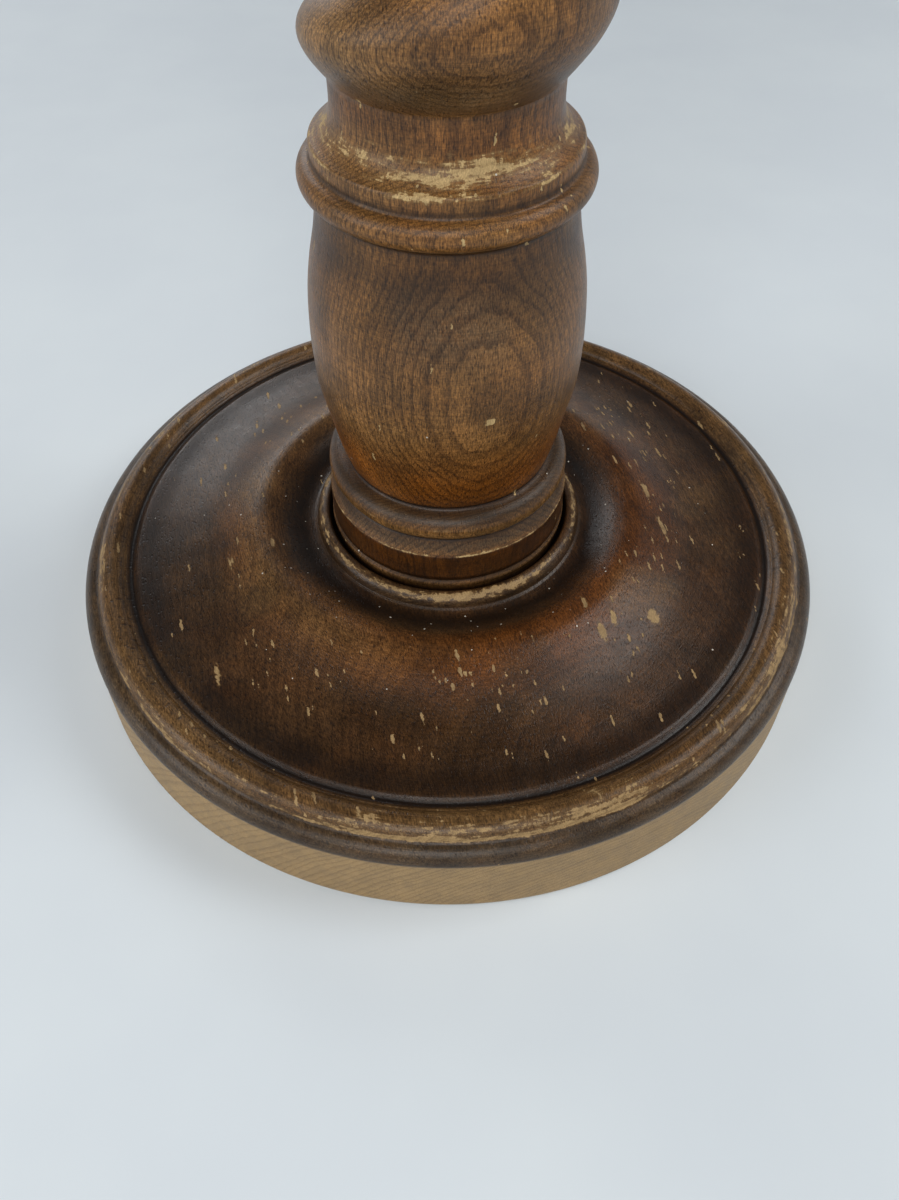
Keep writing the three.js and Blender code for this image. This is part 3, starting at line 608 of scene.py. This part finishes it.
def column_outline():
    foot = SOCKET_FLOOR_Z + 0.3
    shoulder = BLOCK_LOW.z - 0.3
    heights = np.linspace(LOWER_NECK_Z, UPPER_NECK_Z, 200)[1:-1]
    return spaced(np.vstack([
        lines((0, COLUMN_FOOT_Z), (TENON_RADIUS - 0.5, COLUMN_FOOT_Z), (TENON_RADIUS, COLUMN_FOOT_Z + 0.5),
              (TENON_RADIUS, foot), (38.9, foot), (38.9, 41.7), (39.2, 42.1), (39.35, 42.8), (39.2, 43.4),
              (38.6, 43.9), (38.5, 44.3), (38.7, 44.7), (38.95, 45)),
        lines((39, 54.7), (38.85, 55.3), (38.4, 55.9)),
        curve([(37.6, 57.4), (36.7, 59.4), (36.2, 60.2)], 4),
        arc(33.7, 64.9, 4.7, -60, 78, 20),
        curve([(33.2, 69.6), (32.7, 70.2), (32.9, 71.2), (34.6, 77.5), (36.9, 89.5), (38.6, 99),
               (39.15, 109), (39, 118), (38.3, 127.5), (37, 135.5), (35.1, 144), (34.2, 150),
               (33.8, 154)], 6),
        arc(33.9, 159, 3.74, -78, 80, 18),
        curve([(34.3, 162.9), (33.95, 163.6), (34, 165)], 3),
        curve([(33.95, 166.8), (33.6, 167.6), (32.8, 168.1)], 3),
        curve([(32.1, 168.5), (30.2, 170.1), (28.7, 172.3), (28, 175.5), (NECK_RADIUS, LOWER_NECK_Z)], 6),
        np.stack([blank_radius(heights), heights], 1),
        curve([(NECK_RADIUS, UPPER_NECK_Z), (28, 480.5), (28.7, 483.7), (30.2, 485.9), (32.1, 487.5)], 5),
        curve([(32.8, 487.9), (33.6, 488.4), (33.95, 489.2)], 3),
        curve([(34, 491), (33.95, 492.4), (34.3, 493.1)], 3),
        arc(33.9, 497, 3.74, -80, 78, 18),
        curve([(33.9, 501.8), (34.4, 503.6), (36.2, 511), (36.7, 519), (35.2, 527), (32.2, 533.2),
               (30.9, 535.4)], 6),
        arc(33.2, 539.2, 3.9, -78, 62, 14),
        lines((34.8, shoulder - 0.2), (34.4, shoulder), (TENON_RADIUS, shoulder),
              (TENON_RADIUS, COLUMN_TOP_Z - 0.6), (TENON_RADIUS - 0.6, COLUMN_TOP_Z), (0, COLUMN_TOP_Z)),
    ]), 1.5)


BARREL_SCAR_ANGLE = math.radians(-73)
COLUMN_SEGMENTS = 200


def make_column():
    outline = column_outline()
    keep = np.r_[True, np.linalg.norm(np.diff(outline, axis=0), axis=1) > 0.02]
    vertices, faces = turned(outline[keep], COLUMN_SEGMENTS, closed=False, shape=twisted)
    piece = new_piece("twist_column", vertices, faces)
    p = vertices_mm(piece)
    radius, angle, z = np.hypot(p[:, 0], p[:, 1]), np.arctan2(p[:, 1], p[:, 0]), p[:, 2]
    wave = 0.07 * lattice_noise(p, 16, 11) + 0.03 * lattice_noise(p, 5, 12)
    wave *= (z > 46) & (z < COLUMN_TOP_Z - 45) & (radius > 20)
    scale = 1 + wave / np.maximum(radius, 1)
    moved = p * np.stack([scale, scale, np.ones_like(scale)], 1)
    piece.data.vertices.foreach_set("co", (moved * MM).astype(np.float32).ravel())

    front = 0.5 - 0.5 * np.sin(angle)
    drift = lattice_noise(p, 14, 8)
    in_twist = smooth(z, LOWER_NECK_Z, LOWER_NECK_Z + 12) * smooth(z, UPPER_NECK_Z, UPPER_NECK_Z - 12)
    fade = smooth(np.minimum(z - LOWER_NECK_Z, UPPER_NECK_Z - z) / TWIST_FADE, 0, 1)
    groove = groove_share(angle, z) * fade * in_twist
    ring_face = smooth(z, 44, 45) * smooth(z, 56, 55)
    twist_front = np.maximum(front - 0.5, 0) * 2
    set_attribute(piece, "warm", 0.15 + 0.8 * smooth(z, 104, 78) * smooth(z, 69, 71) + 0.25 * in_twist
                  + 0.9 * ring_face + 0.2 * drift + 0.3 * hump(z, 178, 6))
    # Thinned stain on the twist, the beads, the cove and the barrel; on the left side of the twist and of
    # the cove it is a painted sheen as well as wear
    set_attribute(piece, "thin", in_twist * (0.3 + 0.6 * smooth(p[:, 0], 5, -30)) + 0.5 * hump(z, 64, 1.8)
                  + 0.1 * hump(z, 159, 4) + 0.5 * hump(z, 172, 7) * smooth(p[:, 0], 10, -20)
                  + 0.35 * hump(z, 108, 22) * smooth(drift, -0.5, 0.6) * smooth(z, 84, 94))
    # A painted sheen on the front of the upper barrel and of the twist, on the ledge, on top of the foot
    # bead and on the ring's lower bead
    set_attribute(piece, "grey", 0.62 * smooth(z, 116, 134) * smooth(z, 150, 140) * twist_front
                  * smooth(drift, -0.7, 0.3) + 0.75 * hump(z, 188, 5) * twist_front + 0.7 * hump(z, 58, 2)
                  + 0.75 * hump(z, 68.8, 1.6) + 0.5 * hump(z, 42.6, 1))
    # Painted shade, with some grime, in the creases, the twist's grooves and the socket; the ring's face is
    # darker too
    set_attribute(piece, "dark", 0.9 * hump(z, 70.6, 0.8) + 0.85 * hump(z, 60.5, 0.9)
                  + 0.95 * smooth(z, 41.9, 41.3)
                  + 0.8 * hump(z, 44.2, 0.7) + 0.75 * hump(z, 163.7, 0.9) + 0.7 * hump(z, 154.4, 1.1)
                  + 0.8 * groove**2 + 0.75 * hump(z, 492, 1.2) + 0.8 * hump(z, 535.4, 1.6)
                  + 0.6 * hump(z, 502, 1.4) + 0.55 * hump(z, 147, 7) + 0.74 * ring_face
                  + 0.5 * hump(z, 68.6, 1.8) + 0.4 * hump(z, 58.5, 2)
                  + 0.3 * hump(z, 176, 4) * smooth(drift, -0.2, 0.6))
    cove_wear = (0.85 * hump(z, 170.4, 2.2) + 0.75 * hump(z, 167.2, 1)
                 + 0.3 * hump(z, 160.5, 2) + 0.5 * hump(z, 173.5, 2.5))
    set_attribute(piece, "worn", (0.62 + 0.5 * drift) * cove_wear * (0.55 + 0.5 * front)
                  + 0.42 * hump(z, 66, 1) * (0.6 + 0.6 * drift) + 0.5 * hump(z, 55.4, 0.6)
                  + 0.2 * in_twist * (1 - groove_share(angle, z)) * smooth(drift, 0.2, 0.9)
                  + 0.4 * hump(z, 487.7, 1.5) + 0.3 * hump(z, 497, 2) + 0.9 * hump(z, 107.6, 1.3)
                  * hump(angle, BARREL_SCAR_ANGLE, 0.05))
    set_attribute(piece, "chips", 0.12 * hump(z, 168, 5) + 0.05 * hump(z, 160, 4) + 0.01)
    set_attribute(piece, "bare", np.where((radius < TENON_RADIUS + 0.1) & ((z < 36) | (z > 545)), 0.9, 0.0))
    set_attribute(piece, "dust", 0.01 + 0.3 * hump(z, 43, 2))
    finish_piece(piece, "stand", "stained_beech", WOOD_COLUMN, "column")


# ---- the round top ----
TOP_SEGMENTS = 288
HALF_JOINT_GAP = 0.03


def top_outline():
    z = TOP_LOW.z
    edge = TOP_HIGH.x
    return spaced(np.vstack([
        lines((0, z), (204, z)),
        arc(204, z + 6, edge - 204, -70, 0, 10),
        lines((edge, z + 10)),
        arc(206.9, z + 11, 3.1, 0, 82, 8),
        arc(201.6, z + 13.8, 4.15, 6, 150, 18),
        lines((197.2, z + 15.6), (196.6, z + 15.7), (196.1, z + 16.3), (195.7, z + 17.6), (195.2, z + 18),
              (0, z + 18)),
    ]), 4)


def cut_board(piece, low_y, high_y):
    form = bmesh.new()
    form.from_mesh(piece.data)
    for y, sign in ((low_y, -1), (high_y, 1)):
        if abs(y) < TOP_HIGH.x:
            everything = form.verts[:] + form.edges[:] + form.faces[:]
            cut = bmesh.ops.bisect_plane(form, geom=everything, plane_co=(0, y * MM, 0),
                                         plane_no=(0, sign, 0), clear_outer=True)
            rim = [e for e in cut["geom_cut"] if isinstance(e, bmesh.types.BMEdge)]
            bmesh.ops.contextual_create(form, geom=rim)
    bmesh.ops.recalc_face_normals(form, faces=form.faces)
    form.to_mesh(piece.data)
    form.free()


def make_top():
    vertices, faces = turned(top_outline(), TOP_SEGMENTS, closed=False)
    edge = TOP_HIGH.x + 1
    boards = {
        "front": (-edge, -BOARD_JOINT_Y - HALF_JOINT_GAP, (0, -150, 300), 2.4),
        "middle": (-BOARD_JOINT_Y + HALF_JOINT_GAP, BOARD_JOINT_Y - HALF_JOINT_GAP, (0, 12, 380), 2.0),
        "back": (BOARD_JOINT_Y + HALF_JOINT_GAP, edge, (0, 128, 700), 2.2),
    }
    for name, (low_y, high_y, pith, ring) in boards.items():
        piece = new_piece("top_" + name, vertices, faces)
        cut_board(piece, low_y, high_y)
        p = vertices_mm(piece)
        radius = np.hypot(p[:, 0], p[:, 1])
        above = smooth(p[:, 2], TOP_LOW.z + 6, TOP_LOW.z + 11)
        set_attribute(piece, "worn",
                      0.55 * hump(radius, 202, 4) * above * (0.7 + 0.5 * lattice_noise(p, 25, 4)))
        set_attribute(piece, "warm", 0.25 + 0.3 * lattice_noise(p, 90, 2))
        # Painted shade in the step round the top and on all of its underside
        set_attribute(piece, "dark", 0.9 * hump(radius, 196.4, 1.3) * above + 0.3 * (1 - above))
        set_attribute(piece, "thin", 0.4 * smooth(radius, 197, 200) * above)
        set_attribute(piece, "chips", 0.05 * above)
        timber = Timber((1, 0.015, 0.01), pith, ring)
        wood = stained_wood("stained_top_" + name, timber, COLUMN_STAIN, 0.36, 200, figure=0.4)
        finish_piece(piece, "top", "stained_beech", wood, "top_board_" + name)


# ---- block, pins, bearers ----
def make_joinery():
    block = refined_copy("block", "pivot_block", 0.9)
    finish_piece(block, "stand", "stained_beech", WOOD_BLOCK, "pivot_block")
    for side in ("left", "right"):
        bearer = refined_copy("bearer_rail_" + side, "bearer_" + side, 0.8)
        finish_piece(bearer, "top", "stained_beech", WOOD_BEARERS, "bearer_" + side)
        pin = refined_copy("hinge_pin_" + side, "pivot_pin_" + side, 0.3)
        finish_piece(pin, "stand", "bare_beech", BARE, "pivot_pin_" + side)
    for node in ("column_bottom_wedge", "column_top_wedge"):
        keep_node(node, BARE_UPRIGHT)
    for number in range(1, 5):
        keep_node(f"top_dowel_{number}", BARE)


def keep_node(node, material):
    """Leaves a CAD piece as it is and gives it a better material."""
    for material_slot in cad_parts[node].material_slots:
        material_slot.material = material


# ---- screws and the brass catch ----
def make_metal():
    for number in range(1, 7):
        screw = refined_copy(f"bearer_wood_screw_{number}", f"bearer_screw_{number}", 0.15, 2, 40)
        finish_piece(screw, "top", "steel", STEEL, f"bearer_screw_{number}")
    for number in range(1, 5):
        screw = refined_copy(f"catch_wood_screw_{number}", f"catch_screw_{number}", 0.12, 2, 40)
        finish_piece(screw, "top", "brass", BRASS, f"catch_screw_{number}")
    for number in range(1, 3):
        screw = refined_copy(f"strike_wood_screw_{number}", f"strike_screw_{number}", 0.08, 2, 40)
        finish_piece(screw, "stand", "brass", BRASS, f"strike_screw_{number}")
    strike = refined_copy("strike", "strike_plate", 0.2)
    finish_piece(strike, "stand", "brass", BRASS, "strike_plate")
    case = refined_copy("catch_housing", "catch_case", 0.3)
    finish_piece(case, "top", "brass", BRASS, "catch_case")
    bolt = refined_copy("catch_latch", "catch_bolt", 0.25)
    finish_piece(bolt, "catch", "brass", BRASS, "catch_bolt")
    knob = refined_copy("catch_thumb_knob", "catch_knob", 0.2)
    finish_piece(knob, "catch", "brass", BRASS, "catch_knob")
    keep_node("catch_spring", SPRING_STEEL)


# ---- floor, light and camera ----
FLOOR_SIZE = 4200.0
FLOOR_LINES = 24
FLOOR_Z = -0.05
FLOOR_COLOURS = (srgb(221, 230, 237), srgb(225, 234, 240))


def make_floor():
    count = FLOOR_LINES
    grid = np.linspace(-FLOOR_SIZE / 2, FLOOR_SIZE / 2, count)
    places = [(x, y, FLOOR_Z) for y in grid for x in grid]
    faces = [(r * count + c, r * count + c + 1, (r + 1) * count + c + 1, (r + 1) * count + c)
             for r in range(count - 1) for c in range(count - 1)]
    floor = new_piece("floor", places, faces)
    s = Shader("pale_floor")
    place = s.vector("MULTIPLY", s.node("TexCoord").outputs["Object"], (1 / MM,) * 3)
    tone = s.noise(place, 0.01, 3)
    s.set(Base_Color=s.mix(s.step(tone, 0.3, 0.7), *FLOOR_COLOURS), Roughness=0.75)
    floor.data.materials.append(s.material)


def add_light(name, place, target, size, power, colour):
    """A soft rectangular light, placed in metres, with its power in watts."""
    data = bpy.data.lights.new(name, "AREA")
    data.shape = "RECTANGLE"
    data.size, data.size_y = size
    data.energy = power
    data.color = colour
    lamp = bpy.data.objects.new(name, data)
    lamp.location = Vector(place)
    lamp.rotation_euler = (Vector(target) - Vector(place)).to_track_quat("-Z", "Y").to_euler()
    lamp.visible_camera = False
    bpy.context.scene.collection.objects.link(lamp)


WALL_LIGHT = 0.72
CEILING_LIGHT = 0.13
CEILING_FROM = 0.5
ROOM_COLOUR = (0.93, 0.96, 1.0, 1)


def make_light():
    world = bpy.data.worlds.new("studio")
    world.use_nodes = True
    tree = world.node_tree
    background = tree.nodes["Background"]
    direction = tree.nodes.new("ShaderNodeSeparateXYZ")
    height = tree.nodes.new("ShaderNodeMapRange")
    height.interpolation_type = "SMOOTHSTEP"
    height.inputs["From Max"].default_value = CEILING_FROM
    height.inputs["To Min"].default_value = WALL_LIGHT
    height.inputs["To Max"].default_value = CEILING_LIGHT
    tree.links.new(tree.nodes.new("ShaderNodeTexCoord").outputs["Generated"], direction.inputs[0])
    tree.links.new(direction.outputs["Z"], height.inputs["Value"])
    tree.links.new(height.outputs["Result"], background.inputs["Strength"])
    background.inputs["Color"].default_value = ROOM_COLOUR
    bpy.context.scene.world = world
    add_light("window_right", (1.35, 0.15, 1.5), (0, 0, 0.1), (0.9, 1.0), 14, (1, 0.99, 0.97))
    add_light("window_back_left", (-0.8, 1.65, 0.92), (0, 0, 0.05), (0.9, 0.6), 6, (0.97, 0.98, 1))
    add_light("soft_front", (-0.15, -1.5, 1.6), (0, 0, 0.1), (1.5, 1.2), 22, (1, 0.99, 0.97))
    add_light("soft_left", (-1.6, -0.7, 0.95), (0, 0, 0.15), (1.0, 1.0), 11, (1, 0.99, 0.98))


SENSOR_SIZE = 36
FOCAL_LENGTH = 28.5
CAMERA_PLACE = Vector((0.58, -234.0, 273.8)) * MM
CAMERA_TARGET = Vector((0.58, 0, -13.1)) * MM


def make_camera():
    data = bpy.data.cameras.new("camera")
    data.sensor_width = SENSOR_SIZE
    data.lens = FOCAL_LENGTH
    data.clip_start = 0.01
    camera = bpy.data.objects.new("camera", data)
    camera.location = CAMERA_PLACE
    camera.rotation_euler = (CAMERA_TARGET - CAMERA_PLACE).to_track_quat("-Z", "Y").to_euler()
    bpy.context.scene.collection.objects.link(camera)
    bpy.context.scene.camera = camera


make_camera()
make_light()
make_floor()
make_base()
make_column()
make_top()
make_joinery()
make_metal()
bpy.context.scene.view_settings.view_transform = "Standard"
